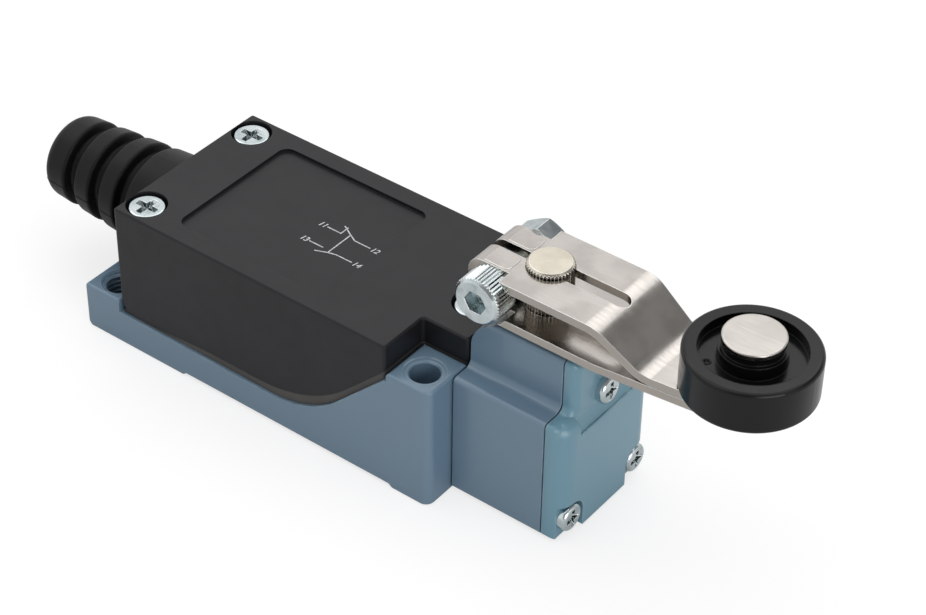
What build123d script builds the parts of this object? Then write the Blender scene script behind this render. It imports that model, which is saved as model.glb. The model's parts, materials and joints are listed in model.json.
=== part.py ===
from build123d import *
import os
from math import cos, hypot, pi, radians, sin, tan

# Roller lever limit switch, lying on its mounting back.
# +X runs along the body to the head, +Y across it, +Z out of the mounting face.
# The origin is the centre of the four mounting holes, on the mounting face.

# Base housing
base_length = 62.1
base_width = 29.6
mount_inset_head = 3.4
mount_inset_cable = 3.7
mount_inset_side = 3.55
mount_hole_radius = 2.1
mount_thread_radius = 2.5
mount_rim_radius = 2.9
mount_rim_depth = 0.12
mount_lead = 0.35
base_corner_radius = 0.5
boss_corner_radius = 1.3
pad_recess = 0.45
left_pad_length = 18.4
right_pad_length = 6.1
pad_ramp = 0.6
pad_end_bevel = 0.8
low_boss_height = 7.2
low_boss_length = 6.6
tall_boss_height = 19.5
base_floor = 2.6
base_wall = 3.6
base_end_wall = 3.2
base_neck_wall = 3.2
lip_thickness = 1.2
lip_height = 2.0
cavity_corner_radius = 1.5
edge_break = 0.45

# Rim line between the housing and the front cover, seen from the side
rim_height = 5.0
rim_height_far_end = 5.4
rim_radius = 17.0
rim_slope = 45.0
plateau_height = 18.2
gasket_thickness = 1.3
gasket_thickness_far_end = 0.25
gasket_neck_thickness = 1.3
gasket_thin_length = 7.2
gasket_taper_length = 9.0
skirt_radius = 22.0
skirt_bend_radius = 30.0
skirt_corner_cut = 1.0

# Front cover
cover_side_step = 0.3
cover_top = 23.5
cover_wall = 1.8
cover_roof = 2.4
cover_corner_radius = 0.5
cover_top_round = 0.25
neck_width = 13.0
neck_length = 7.45
cover_gap = 0.2
label_length = 26.0
label_side_inset = 3.1
label_start = 9.0
label_depth = 0.5
label_corner_radius = 1.6
cover_screw_inset_x = 3.0
cover_screw_inset_y = 3.6
neck_screw_inset = 4.15
cover_column_radius = 2.4

# Cover screws
cover_screw_radius = 1.5
cover_screw_head_radius = 2.65
cover_screw_head_height = 1.4
cover_screw_sink = 0.35
cover_screw_recess_radius = 2.95
cover_screw_depth_corner = 3.4
cover_screw_depth_neck = 14.6
cover_screw_head_round = 0.35
cross_reach_share = 0.68
cross_width_share = 0.36
cross_depth_share = 0.36

# Head housing
head_gasket_thickness = 0.3
head_length = 14.5
head_lift = 0.2
head_width = 20.0
head_upper_width = 12.7
head_shoulder = 19.4
head_top = 27.5
head_nose_radius = 4.7
head_edge_radius = 0.7
head_inner_radius = 1.2
head_rear_wall = 2.2
chamber_width = 8.7
chamber_bottom = 5.2
chamber_top = 14.4
head_screw_inset = 3.1
head_screw_z = 16.4
head_screw_radius = 1.25
head_screw_head_radius = 2.2
head_screw_head_height = 1.5
head_screw_grip = 5.5
screw_clearance = 0.12

# Head end cover
end_gasket_thickness = 0.2
end_flange = 1.9
end_body = 3.05
end_step_height = 16.6
end_vertical_radius = 2.8
end_step_bevel = 0.4
end_shoulder_radius = 2.1
end_upper_radius = 1.3
end_screw_inset = 2.7
end_screw_z = 3.15
end_screw_top_z = 20.2
end_screw_radius = 1.0
end_screw_head_radius = 2.05
end_screw_head_height = 1.3
end_screw_head_round = 0.6
end_screw_grip = 2.0
end_pocket_radius = 2.45

# Lever shaft and what carries it
shaft_offset = 7.55
knurl_radius = 3.2
knurl_depth = 0.22
knurl_teeth = 40
shaft_top_proud = 0.85
shaft_chamfer = 0.4
journal_radius = 3.6
cam_radius = 4.0
cam_flat = 2.3
cam_bottom = 5.6
cam_top = 14.1
lower_journal_radius = 2.4
lower_journal_end = 2.0
bush_wall = 1.1
bush_length = 7.9
bush_flange_radius = 5.5
bush_flange = 0.6
bush_clearance = 0.03
seal_height = 1.9
passage_clearance = 0.25
lower_bore_end = 1.9

# Lever arm, one folded strip
sheet = 1.2
lever_gap_under = 1.05
leaf_seam = 0.08
lever_leaf_gap = 4.5
lever_half_width = 6.75
lever_radius = 30.0
lever_back = 9.65
lever_fold_radius = 1.6
lever_bend_start = 11.5
lever_bend_length = 6.6
lever_bend_radius = 4.8
lever_taper_start = 11.5
lever_tip_radius = 4.7
lever_notch_x = 3.65
lever_notch_half_width = 4.5
clamp_relief = 0.1
lever_slit = 1.4
lever_slot_width = 2.7
lever_slot_reach = 12.1
hole_clearance = 0.03

# Clamp screw and nut
clamp_offset = 5.5
clamp_screw_radius = 2.0
clamp_head_radius = 3.5
clamp_head_length = 4.0
clamp_head_teeth = 44
clamp_head_tooth_depth = 0.18
clamp_head_lead = 0.5
clamp_socket_width = 3.0
clamp_socket_depth = 2.2
clamp_tip = 0.6
nut_width = 7.0
nut_thickness = 3.2
nut_chamfer = 0.35

# Roller on its rivet
roller_radius = 8.75
roller_width = 6.2
roller_edge_radius = 0.55
roller_lift = 0.3
roller_recess_radius = 6.85
roller_recess_depth = 1.45
roller_under_recess = 1.1
roller_hub_radius = 4.4
roller_hub_proud = 0.35
roller_hub_lift = 0.25
roller_collar_radius = 3.85
roller_collar_height = 1.0
roller_bore_radius = 2.52
rivet_radius = 2.48
rivet_shank_radius = 2.0
rivet_head_radius = 4.05
rivet_head_height = 0.75
rivet_head_round = 0.2
rivet_tail_radius = 3.0
rivet_tail_height = 0.7
roller_play = 0.05
roller_bush_wall = 0.7

# Plunger between the cam and the switch block
plunger_height = 9.5
plunger_stem_radius = 2.0
plunger_foot_radius = 3.5
plunger_foot_length = 1.8
plunger_cam_gap = 0.35
plunger_guide_clearance = 0.05
plunger_stroke = 1.7
spring_pocket_radius = 3.8
spring_pocket_depth = 3.8
plunger_spring_radius = 2.9
plunger_spring_wire = 0.32
plunger_spring_turns = 4
spring_seat_gap = 0.06

# Switch block with its two double-break contacts
wiring_room = 10.15
block_side_room = 1.6
block_height = 14.6
block_clearance = 0.5
block_plate = 1.4
block_end_wall = 2.6
block_back_wall = 1.2
block_side_wall = 1.2
block_chamber_height = 9.6
ear_length = 5.6
ear_height = 5.4
ear_screw_inset = 3.3
ear_screw_radius = 1.4
ear_screw_head_radius = 2.5
ear_screw_head_height = 1.8
ear_screw_grip = 1.7
strip = 0.8
strip_width = 3.4
strip_inset = 2.9
pad_pocket_depth = 1.6
pad_pocket_reach = 3.1
front_leg_inset = 7.2
front_pad_length = 6.2
rear_pad_length = 6.6
leg_bottom_lift = 1.5
contact_radius = 1.2
contact_height = 0.5
contact_touch = 0.05
bridge_thickness = 0.5
bridge_half_height = 1.4
terminal_screw_radius = 1.5
terminal_screw_grip = 1.2
terminal_head_radius = 2.8
terminal_head_height = 1.9
terminal_washer = 0.8
terminal_washer_width = 5.8
slot_width = 0.8
slot_depth = 0.9
carrier_half_width = 2.5
carrier_half_height = 2.5
carrier_back_reach = 1.2
carrier_window_gap = 0.1
button_radius = 2.0
button_touch = 0.05
carrier_spring_radius = 1.7
carrier_spring_wire = 0.28
carrier_spring_turns = 5

# Earth screw on the housing floor
earth_inset_x = 5.2
earth_inset_y = 4.6
earth_boss_radius = 3.2
earth_boss_height = 2.2
earth_screw_radius = 1.75
earth_head_radius = 3.1
earth_head_height = 2.0
earth_washer_radius = 3.3
earth_washer = 0.5
earth_screw_grip = 3.2

# Cable boot
boot_height = 14.5
boot_length = 22.85
boot_radius_root = 7.85
boot_radius_tip = 6.2
boot_bore = 4.1
boot_neck_radius = 5.6
boot_inner_flange = 1.6
boot_inner_flange_radius = 6.6
boot_smooth = 5.7
boot_groove = 2.3
boot_rib = 2.85
boot_groove_count = 3
boot_groove_depth = 1.6
boot_crest_round = 0.45
boot_floor_round = 0.4
boot_tip_round = 1.8
boot_gap = 0.05
boot_saddle_relief = 0.6
saddle_half_width = 7.9

# Places worked out from the sizes above
mount_x = (base_length - mount_inset_head - mount_inset_cable) / 2
mount_y = base_width / 2 - mount_inset_side
base_end = mount_x + mount_inset_head
base_start = -mount_x - mount_inset_cable
base_half_width = base_width / 2
cover_start = base_start + low_boss_length + cover_gap
cover_end = base_end
notch_x = cover_end - neck_length
neck_half_width = neck_width / 2
cover_half_width = base_half_width - cover_side_step
inner_half_width = cover_half_width - cover_wall
cavity_start = cover_start + base_end_wall
cavity_end = notch_x - base_neck_wall
cavity_half_width = base_half_width - base_wall
lip_half_width = cavity_half_width + lip_thickness
tall_boss_x = notch_x + 2 * cover_gap
tall_boss_inner = neck_half_width + cover_gap
neck_underside = plateau_height + gasket_neck_thickness
skirt_height = rim_height + gasket_thickness
skirt_height_far_end = rim_height_far_end + gasket_thickness_far_end
head_start = base_end + head_gasket_thickness
head_end = head_start + head_length
end_cover_start = head_end + end_gasket_thickness
end_flange_end = end_cover_start + end_flange
end_cover_end = end_cover_start + end_body
chamber_start = head_start + head_rear_wall
head_screw_y = head_width / 2 - head_screw_inset
end_screw_y = head_width / 2 - end_screw_inset
shaft_x = head_start + shaft_offset
lever_bottom = head_top + lever_gap_under
lower_leaf_top = lever_bottom + sheet
upper_leaf_bottom = lower_leaf_top + lever_leaf_gap
lever_top = upper_leaf_bottom + sheet
tip_leaf_top = lower_leaf_top + leaf_seam + sheet
shaft_top = lever_top + shaft_top_proud
journal_top = lever_bottom - roller_play
bush_outer_radius = journal_radius + bush_wall
bush_bottom = head_top - bush_length
seal_bottom = bush_bottom - seal_height
roller_x = shaft_x + lever_radius
roller_bottom = tip_leaf_top + roller_lift
roller_top = roller_bottom + roller_width
hub_bottom = tip_leaf_top + roller_hub_lift
hub_top = roller_top + roller_hub_proud
collar_top = hub_top + roller_collar_height
clamp_x = shaft_x - clamp_offset
clamp_z = (lower_leaf_top + upper_leaf_bottom) / 2
foot_face = shaft_x - cam_radius - plunger_cam_gap
foot_back = foot_face - plunger_foot_length
spring_seat = base_end - spring_pocket_depth
block_end = cavity_end - block_clearance
block_start = cavity_start + wiring_room
block_half_width = cavity_half_width - block_side_room
block_bottom = base_floor
block_top = block_bottom + block_height
chamber_end_x = block_end - block_end_wall
chamber_start_x = block_start + ear_length + block_back_wall
chamber_half_width = block_half_width - block_side_wall
block_chamber_top = block_bottom + block_plate + block_chamber_height
pocket_floor = block_top - pad_pocket_depth
ear_screw_x = block_start + ear_length / 2
ear_screw_y = block_half_width - ear_screw_inset
strip_y = block_half_width - strip_inset
pad_pocket_inner = strip_y - pad_pocket_reach
bridge_half_length = strip_y + contact_radius
closed_leg_x = block_end - front_leg_inset
open_leg_x = block_start + ear_length + rear_pad_length
closed_bridge_x = closed_leg_x - contact_height - contact_touch - bridge_thickness
open_bridge_x = open_leg_x + strip + contact_height + contact_touch + plunger_stroke
carrier_back = open_bridge_x - carrier_back_reach
plunger_tip = block_end + 2.0
boot_tip_x = cover_start - boot_length
cover_screw_x = cover_start + cover_screw_inset_x
cover_screw_y = cover_half_width - cover_screw_inset_y
neck_screw_x = cover_end - neck_screw_inset
earth_x = cavity_start + earth_inset_x
earth_y = earth_inset_y - cavity_half_width
BOTTOM = (Align.CENTER, Align.CENTER, Align.MIN)


def rod_x(x0, x1, y, z, radius):
    """Round bar along X from x0 to x1."""
    return Pos(x0, y, z) * Rot(0, 90, 0) * Cylinder(radius, x1 - x0, align=BOTTOM)


def rod_y(x, y0, y1, z, radius):
    """Round bar along Y from y0 to y1."""
    return Pos(x, y0, z) * Rot(-90, 0, 0) * Cylinder(radius, y1 - y0, align=BOTTOM)


def rod_z(x, y, z0, z1, radius):
    """Round bar along Z from z0 to z1."""
    return Pos(x, y, z0) * Cylinder(radius, z1 - z0, align=BOTTOM)


def block(x0, x1, y0, y1, z0, z1):
    """Box between two corners."""
    middle = Pos((x0 + x1) / 2, (y0 + y1) / 2, (z0 + z1) / 2)
    return middle * Box(x1 - x0, y1 - y0, z1 - z0)


def side_prism(points, half_width):
    """Outline in X and Z, carried across the part to both sides."""
    face = make_face(Plane.XZ * Polyline(*points, close=True))
    return extrude(face, amount=half_width, both=True)


def plan_prism(sketch, z0, z1):
    """Outline in X and Y, raised from z0 to z1."""
    return extrude(Plane.XY.offset(z0) * sketch, amount=z1 - z0)


def section_prism(sketch, x0, x1):
    """Outline in Y and Z, carried along X from x0 to x1."""
    return extrude(Plane.YZ.offset(x0) * sketch, amount=x1 - x0)


def both_sides(piece):
    """A piece and its mirror image across the middle plane, as a list."""
    return [piece, mirror(piece, about=Plane.XZ)]


def group(pieces):
    """Several separate solids in one node."""
    solids = []
    for piece in pieces:
        solids.extend(piece.solids())
    return Compound(children=solids)


def toothed_disc(radius, depth, teeth):
    """Outline of a straight knurl: a ring of vee teeth."""
    points = []
    for i in range(2 * teeth):
        reach = radius if i % 2 == 0 else radius - depth
        angle = pi * i / teeth
        points.append((reach * cos(angle), reach * sin(angle)))
    return make_face(Polyline(*points, close=True))


def above_line(flat, height, top, radii):
    """Everything above a rim line: the flat's points, an arc and a slope up to the notch."""
    corner = (notch_x - (top - height) / tan(radians(rim_slope)), height)
    line = FilletPolyline(*flat, corner, (notch_x, top), radius=radii)
    ceiling = 3 * head_top
    rest = Polyline((notch_x, top), (2 * base_end, top), (2 * base_end, ceiling),
                    (flat[0][0], ceiling), flat[0])
    face = make_face(Plane.XZ * (Curve() + line + rest))
    return extrude(face, amount=base_width, both=True)


def above_rim(lift=0.0):
    """Everything above the seat of the gasket on the housing."""
    flat = [(base_start, rim_height_far_end + lift)]
    return above_line(flat, rim_height + lift, plateau_height + lift, [rim_radius])


def above_skirt():
    """Everything above the lower edge of the front cover, low over the thin end of the gasket."""
    thin_end = cover_start + gasket_thin_length
    flat = [(base_start, skirt_height_far_end), (thin_end, skirt_height_far_end),
            (thin_end + gasket_taper_length, skirt_height)]
    radii = [skirt_bend_radius, skirt_bend_radius, skirt_radius]
    return above_line(flat, skirt_height, neck_underside, radii)


def cross_recess(head_radius):
    """Tapered cross recess for a screw head of this radius, pointing down from its mouth at z = 0."""
    reach = cross_reach_share * head_radius
    width = cross_width_share * head_radius
    depth = cross_depth_share * head_radius
    arm = Box(2 * reach, width, depth, align=(Align.CENTER, Align.CENTER, Align.MAX))
    taper = Pos(0, 0, -depth) * Cone(width, reach, depth, align=BOTTOM)
    return (arm + Rot(0, 0, 90) * arm) & taper


def cover_outline(inset):
    """Plan of the front cover: a wide part and a narrow neck towards the head."""
    wide = cover_half_width - inset
    narrow = neck_half_width - inset
    points = [(cover_start + inset, -wide), (notch_x - inset, -wide), (notch_x - inset, -narrow),
              (cover_end - inset, -narrow), (cover_end - inset, narrow), (notch_x - inset, narrow),
              (notch_x - inset, wide), (cover_start + inset, wide)]
    face = make_face(Polyline(*points, close=True))
    return fillet(face.vertices(), cover_corner_radius)


def lip_outline(half_width, start, end):
    """Plan of the housing's inner rectangle with rounded corners."""
    return Pos((start + end) / 2, 0) * RectangleRounded(end - start, 2 * half_width, cavity_corner_radius)


def boot_circle(radius, x0, x1):
    """Round bar on the axis of the cable entry."""
    return rod_x(x0, x1, 0, boot_height, radius)


def cover_screw_places():
    """Centres of the three cover screws, with the height where each tip ends."""
    return [(cover_screw_x, -cover_screw_y, cover_screw_depth_corner),
            (cover_screw_x, cover_screw_y, cover_screw_depth_corner),
            (neck_screw_x, 0, cover_screw_depth_neck)]


def end_screw_places():
    """Centres of the three end cover screws in Y and Z."""
    return [(-end_screw_y, end_screw_z), (end_screw_y, end_screw_z), (0, end_screw_top_z)]


def make_base_housing():
    """Die-cast housing: pads, four bosses, a hollow for the block and a rim for the gasket."""
    plan = Pos((base_start + base_end) / 2, 0) * Rectangle(base_length, base_width)
    plan = fillet(plan.vertices().group_by(Axis.X)[0], base_corner_radius)
    plan = fillet(plan.vertices().filter_by(lambda v: v.X > base_end - edge_break), boss_corner_radius)
    left = base_start + left_pad_length
    right = base_end - right_pad_length
    under = side_prism([(left, 0), (left + pad_ramp, pad_recess), (right - pad_ramp, pad_recess),
                        (right, 0), (right, -1), (left, -1)], base_width)
    body = plan_prism(plan, 0, tall_boss_height)
    body -= above_rim()
    low = plan_prism(plan, 0, low_boss_height) & block(base_start, base_start + low_boss_length,
                                                       -base_width, base_width, 0, low_boss_height)
    tall_area = block(tall_boss_x, 2 * base_end, tall_boss_inner, base_width, 0, tall_boss_height)
    tall = plan_prism(plan, 0, tall_boss_height)
    for area in both_sides(tall_area):
        boss = tall & area
        body += fillet(boss.faces().sort_by(Axis.Z)[-1].edges(), edge_break)
    body += fillet(low.faces().sort_by(Axis.Z)[-1].edges(), edge_break)
    lip_end = cavity_end + lip_thickness
    lip_start = cavity_start - lip_thickness
    lip = plan_prism(lip_outline(lip_half_width, lip_start, lip_end), base_floor, cover_top)
    lip -= above_rim(lip_height)
    lip -= block(base_start, cavity_start + 1, -boot_inner_flange_radius - edge_break,
                 boot_inner_flange_radius + edge_break, rim_height, cover_top)
    for x, y, tip in cover_screw_places()[:2]:
        lip -= rod_z(x, y, rim_height_far_end, cover_top, cover_column_radius + 2 * cover_gap)
    body += lip
    body -= plan_prism(lip_outline(cavity_half_width, cavity_start, cavity_end), base_floor, cover_top)
    posts = [rod_z(x, y, base_floor, rim_height, cover_column_radius)
             for x, y, tip in cover_screw_places()[:2]]
    posts.append(rod_z(earth_x, earth_y, base_floor, base_floor + earth_boss_height, earth_boss_radius))
    for post in posts:
        body += post
    saddle = block(cover_start, cover_start + cover_wall, -saddle_half_width, saddle_half_width,
                   rim_height, boot_height)
    body += saddle
    body -= boot_circle(boot_neck_radius, cover_start - 1, cavity_start)
    body -= boot_circle(boot_radius_root + boot_saddle_relief, -2 * base_end, cover_start - boot_gap)
    body -= under
    bevel = [(base_start, pad_end_bevel), (base_start + pad_end_bevel, 0), (base_start, 0)]
    body -= side_prism(bevel, base_width)
    for x, y, tip in cover_screw_places():
        body -= rod_z(x, y, tip - edge_break, cover_top, cover_screw_radius)
    for sx, sy, radius in ((1, -1, mount_hole_radius), (-1, 1, mount_hole_radius),
                           (-1, -1, mount_thread_radius), (1, 1, mount_thread_radius)):
        top = tall_boss_height if sx > 0 else low_boss_height
        lead = Cone(radius, radius + 2 * mount_lead, 2 * mount_lead, align=BOTTOM)
        body -= rod_z(sx * mount_x, sy * mount_y, -1, top + 1, radius)
        body -= Pos(sx * mount_x, sy * mount_y, top - mount_lead) * lead
        if radius == mount_hole_radius:
            body -= rod_z(sx * mount_x, sy * mount_y, top - mount_rim_depth, top + 1, mount_rim_radius)
    body -= rod_x(cavity_end - lip_thickness, base_end + 1, 0, plunger_height,
                  plunger_stem_radius + plunger_guide_clearance)
    body -= rod_x(spring_seat, base_end + 1, 0, plunger_height, spring_pocket_radius)
    for y in (-head_screw_y, head_screw_y):
        body -= rod_x(base_end - head_screw_grip, base_end + 1, y, head_screw_z, head_screw_radius)
    for y in (-ear_screw_y, ear_screw_y):
        body -= rod_z(ear_screw_x, y, base_floor - ear_screw_grip, base_floor + 1, ear_screw_radius)
    earth_top = base_floor + earth_boss_height
    body -= rod_z(earth_x, earth_y, earth_top - earth_screw_grip, earth_top + 1, earth_screw_radius)
    return body


def make_front_cover():
    """Moulded cover: deep skirts, a neck, a sunk label panel and three screw columns."""
    shell = plan_prism(cover_outline(0), 0, cover_top)
    shell = chamfer(shell.faces().sort_by(Axis.Z)[-1].edges(), cover_top_round)
    inner = Pos((cover_start + notch_x) / 2, 0) * RectangleRounded(
        notch_x - cover_start - 2 * cover_wall, 2 * inner_half_width, cover_corner_radius)
    hollow = plan_prism(inner, 0, cover_top - cover_roof)
    columns = [rod_z(x, y, rim_height + cover_gap, cover_top - cover_roof / 2, cover_column_radius)
               for x, y, tip in cover_screw_places()[:2]]
    for column in columns:
        hollow -= column
    shell -= hollow
    shell = shell & above_skirt()
    slot = block(cover_start - 1, cover_start + cover_wall + cover_gap / 2,
                 -saddle_half_width - cover_gap / 2, saddle_half_width + cover_gap / 2, 0, boot_height)
    shell -= slot
    shell -= boot_circle(boot_neck_radius, cover_start - 1, cover_start + cover_wall + cover_gap)
    panel = Pos(cover_start + label_start + label_length / 2, 0) * RectangleRounded(
        label_length, 2 * (cover_half_width - label_side_inset), label_corner_radius)
    shell -= plan_prism(panel, cover_top - label_depth, cover_top + 1)
    seat = cover_top - cover_screw_sink - cover_screw_head_height
    for x, y, tip in cover_screw_places():
        shell -= rod_z(x, y, 0, cover_top + 1, cover_screw_radius + screw_clearance)
        shell -= rod_z(x, y, seat, cover_top + 1, cover_screw_recess_radius)
    cut = 2 * skirt_corner_cut / 2 ** 0.5
    for side in (-1, 1):
        corner = Pos(cover_start, side * cover_half_width, skirt_height) * Rot(0, 45, 0)
        shell -= corner * Box(cut, cover_wall * 3, cut)
    return shell


def make_cover_gasket():
    """Rubber gasket between the rim of the housing and the edge of the cover."""
    ring = plan_prism(cover_outline(cover_gap / 2), 0, neck_underside)
    ring = ring & above_rim()
    ring -= above_skirt()
    lip_end = cavity_end + lip_thickness + cover_gap
    lip_start = cavity_start - lip_thickness - cover_gap
    ring -= plan_prism(lip_outline(lip_half_width + cover_gap, lip_start, lip_end), 0, cover_top)
    saddle_room = saddle_half_width + cover_gap
    ring -= block(cover_start - 1, cavity_start, -saddle_room, saddle_room, 0, cover_top)
    for x, y, tip in cover_screw_places():
        ring -= rod_z(x, y, 0, cover_top, cover_screw_radius + screw_clearance)
    return ring


def make_cover_screws():
    """Three cheese-head screws with cross recesses."""
    seat = cover_top - cover_screw_sink - cover_screw_head_height
    screws = []
    for x, y, tip in cover_screw_places():
        head = rod_z(x, y, seat, seat + cover_screw_head_height, cover_screw_head_radius)
        head = fillet(head.edges().sort_by(Axis.Z)[-1], cover_screw_head_round)
        screw = head + rod_z(x, y, tip, seat, cover_screw_radius)
        mouth = Pos(x, y, seat + cover_screw_head_height)
        screws.append(screw - mouth * cross_recess(cover_screw_head_radius))
    return group(screws)


def head_section(inset):
    """Outline of the head across the part: wide below the shoulder, narrow above."""
    wide = head_width / 2 - inset
    narrow = head_upper_width / 2 - inset
    points = [(-wide, head_lift + inset), (wide, head_lift + inset), (wide, head_shoulder - inset),
              (narrow, head_shoulder - inset), (narrow, head_top - inset), (-narrow, head_top - inset),
              (-narrow, head_shoulder - inset), (-wide, head_shoulder - inset)]
    face = make_face(Polyline(*points, close=True))
    inner = face.vertices().filter_by(
        lambda v: abs(abs(v.X) - narrow) < 0.01 and abs(v.Y - head_shoulder + inset) < 0.01)
    face = fillet(inner, head_inner_radius)
    outer = face.vertices().filter_by(
        lambda v: abs(abs(v.X) - wide) < 0.01 or abs(v.Y - head_top + inset) < 0.01)
    return fillet(outer, head_edge_radius)


def make_head_housing():
    """Die-cast head: cam chamber, shaft bore and a rounded shoulder towards the body."""
    head = section_prism(head_section(0), head_start, head_end)
    side = make_face(Plane.XZ * Polyline((head_start, 0), (head_end, 0), (head_end, head_top),
                                         (head_start, head_top), close=True))
    nose = side.vertices().sort_by(Axis.Z)[-2:].sort_by(Axis.X)[0]
    head = head & extrude(fillet(nose, head_nose_radius), amount=head_width, both=True)
    head -= block(chamber_start, head_end + 1, -chamber_width / 2, chamber_width / 2,
                  chamber_bottom, chamber_top)
    head -= rod_x(head_start - 1, chamber_start + 1, 0, plunger_height,
                  plunger_foot_radius + plunger_guide_clearance)
    head -= rod_z(shaft_x, 0, chamber_bottom, head_top, cam_radius + passage_clearance)
    head -= rod_z(shaft_x, 0, seal_bottom, head_top + 1, bush_outer_radius)
    head -= rod_z(shaft_x, 0, lower_bore_end, chamber_top, lower_journal_radius + bush_clearance)
    for y in (-head_screw_y, head_screw_y):
        head -= rod_x(head_start - 1, head_end + 1, y, head_screw_z, head_screw_radius + screw_clearance)
        head -= rod_x(head_end - head_screw_head_height - screw_clearance, head_end + 1, y, head_screw_z,
                      head_screw_head_radius + screw_clearance)
    for y, z in end_screw_places():
        head -= rod_x(head_end - end_screw_grip - screw_clearance, head_end + 1, y, z, end_screw_radius)
    return head


def make_head_gasket():
    """Thin gasket between the end of the housing and the head."""
    sheet_face = Pos(0, (head_lift + plateau_height) / 2) * RectangleRounded(
        head_width - 2 * edge_break, plateau_height - head_lift - 2 * edge_break, head_edge_radius)
    gasket = section_prism(sheet_face, base_end, head_start)
    gasket -= rod_x(base_end - 1, head_start + 1, 0, plunger_height, spring_pocket_radius)
    for y in (-head_screw_y, head_screw_y):
        gasket -= rod_x(base_end - 1, head_start + 1, y, head_screw_z, head_screw_radius + screw_clearance)
    return gasket


def make_head_screws():
    """Two screws that hold the head, reached with the end cover off."""
    screws = []
    for y in (-head_screw_y, head_screw_y):
        seat = head_end - head_screw_head_height - screw_clearance
        head = rod_x(seat, seat + head_screw_head_height, y, head_screw_z, head_screw_head_radius)
        shank = rod_x(base_end - head_screw_grip + edge_break, seat, y, head_screw_z, head_screw_radius)
        mouth = Pos(seat + head_screw_head_height, y, head_screw_z) * Rot(0, 90, 0)
        screws.append(head + shank - mouth * cross_recess(head_screw_head_radius))
    return group(screws)


def make_end_gasket():
    """Thin gasket between the head and its end cover."""
    gasket = section_prism(head_section(edge_break / 2), head_end, end_cover_start)
    gasket -= block(head_end - 1, end_cover_start + 1, -chamber_width / 2, chamber_width / 2,
                    chamber_bottom, chamber_top)
    for y, z in end_screw_places():
        gasket -= rod_x(head_end - 1, end_cover_start + 1, y, z, end_screw_radius + screw_clearance)
    for y in (-head_screw_y, head_screw_y):
        gasket -= rod_x(head_end - 1, end_cover_start + 1, y, head_screw_z, head_screw_head_radius)
    return gasket


def make_head_end_cover():
    """End cover of the head: a flange with a raised body, its shoulders higher than its middle."""
    flange = section_prism(head_section(0), end_cover_start, end_flange_end)
    upper_edges = flange.faces().sort_by(Axis.X)[-1].edges().filter_by(
        lambda e: e.center().Z > head_shoulder + end_upper_radius)
    flange = fillet(upper_edges, end_upper_radius)
    low = section_prism(Pos(0, (head_lift + head_shoulder) / 2) * Rectangle(
        head_width, head_shoulder - head_lift), end_cover_start, end_cover_end)
    outer = low.faces().sort_by(Axis.X)[-1]
    upright = outer.edges().filter_by(Axis.Z)
    low = fillet(upright, end_vertical_radius)
    crest = low.edges().filter_by(
        lambda e: abs(e.center().Z - head_shoulder) < 0.01 and e.center().X > end_flange_end)
    low = fillet(crest, end_shoulder_radius)
    low = low & section_prism(head_section(0), end_cover_start, end_cover_end)
    low -= side_prism([(end_flange_end, head_top), (end_flange_end, end_step_height),
                       (end_cover_end - end_step_bevel, end_step_height),
                       (end_cover_end + 1, end_step_height - end_step_bevel - 1),
                       (end_cover_end + 1, head_top)], head_upper_width / 2)
    for side in (-1, 1):
        y = side * end_screw_y
        low -= rod_x(end_flange_end, end_cover_end + 1, y, end_screw_z, end_pocket_radius)
        outward = sorted((y, side * head_width))
        low -= block(end_flange_end, end_cover_end + 1, outward[0], outward[1],
                     -1, end_screw_z + end_pocket_radius)
        across = sorted((y - side * end_pocket_radius, side * head_width))
        low -= block(end_flange_end, end_cover_end + 1, across[0], across[1], -1, end_screw_z)
    cover = flange + low
    for y, z in end_screw_places():
        cover -= rod_x(end_cover_start - 1, end_cover_end + 1, y, z, end_screw_radius + screw_clearance)
    return cover


def make_end_cover_screws():
    """Three small pan-head screws in the end cover."""
    screws = []
    for y, z in end_screw_places():
        head = rod_x(end_flange_end, end_flange_end + end_screw_head_height, y, z, end_screw_head_radius)
        head = fillet(head.edges().sort_by(Axis.X)[-1], end_screw_head_round)
        shank = rod_x(head_end - end_screw_grip, end_flange_end, y, z, end_screw_radius)
        mouth = Pos(end_flange_end + end_screw_head_height, y, z) * Rot(0, 90, 0)
        screws.append(head + shank - mouth * cross_recess(end_screw_head_radius))
    return group(screws)


def make_shaft_bush():
    """Flanged bearing bush in the top of the head."""
    bush = rod_z(shaft_x, 0, bush_bottom, head_top, bush_outer_radius)
    bush += rod_z(shaft_x, 0, head_top, head_top + bush_flange, bush_flange_radius)
    return bush - rod_z(shaft_x, 0, bush_bottom - 1, head_top + 1, journal_radius + bush_clearance)


def make_shaft_seal():
    """Lip seal under the bush."""
    bore = journal_radius + plunger_guide_clearance
    seal = rod_z(shaft_x, 0, seal_bottom, bush_bottom, bush_outer_radius)
    return seal - rod_z(shaft_x, 0, seal_bottom - 1, bush_bottom + 1, bore)


def make_lever_shaft():
    """Knurled lever shaft with its journal and the flatted cam that drives the plunger."""
    knurl = plan_prism(toothed_disc(knurl_radius, knurl_depth, knurl_teeth), journal_top, shaft_top)
    taper_start = shaft_top - shaft_chamfer
    taper = Pos(0, 0, taper_start) * Cone(
        knurl_radius, knurl_radius - shaft_chamfer, shaft_chamfer, align=BOTTOM)
    knurl = knurl & (rod_z(0, 0, journal_top, taper_start, knurl_radius + 1) + taper)
    shaft = Pos(shaft_x, 0, 0) * knurl
    shaft += rod_z(shaft_x, 0, cam_top, journal_top, journal_radius)
    cam = rod_z(shaft_x, 0, cam_bottom, cam_top, cam_radius)
    cam -= block(shaft_x - 2 * cam_radius, shaft_x - cam_flat, -cam_radius, cam_radius,
                 cam_bottom - 1, cam_top + 1)
    shaft += cam
    shaft += rod_z(shaft_x, 0, lower_journal_end, cam_bottom, lower_journal_radius)
    return shaft


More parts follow.
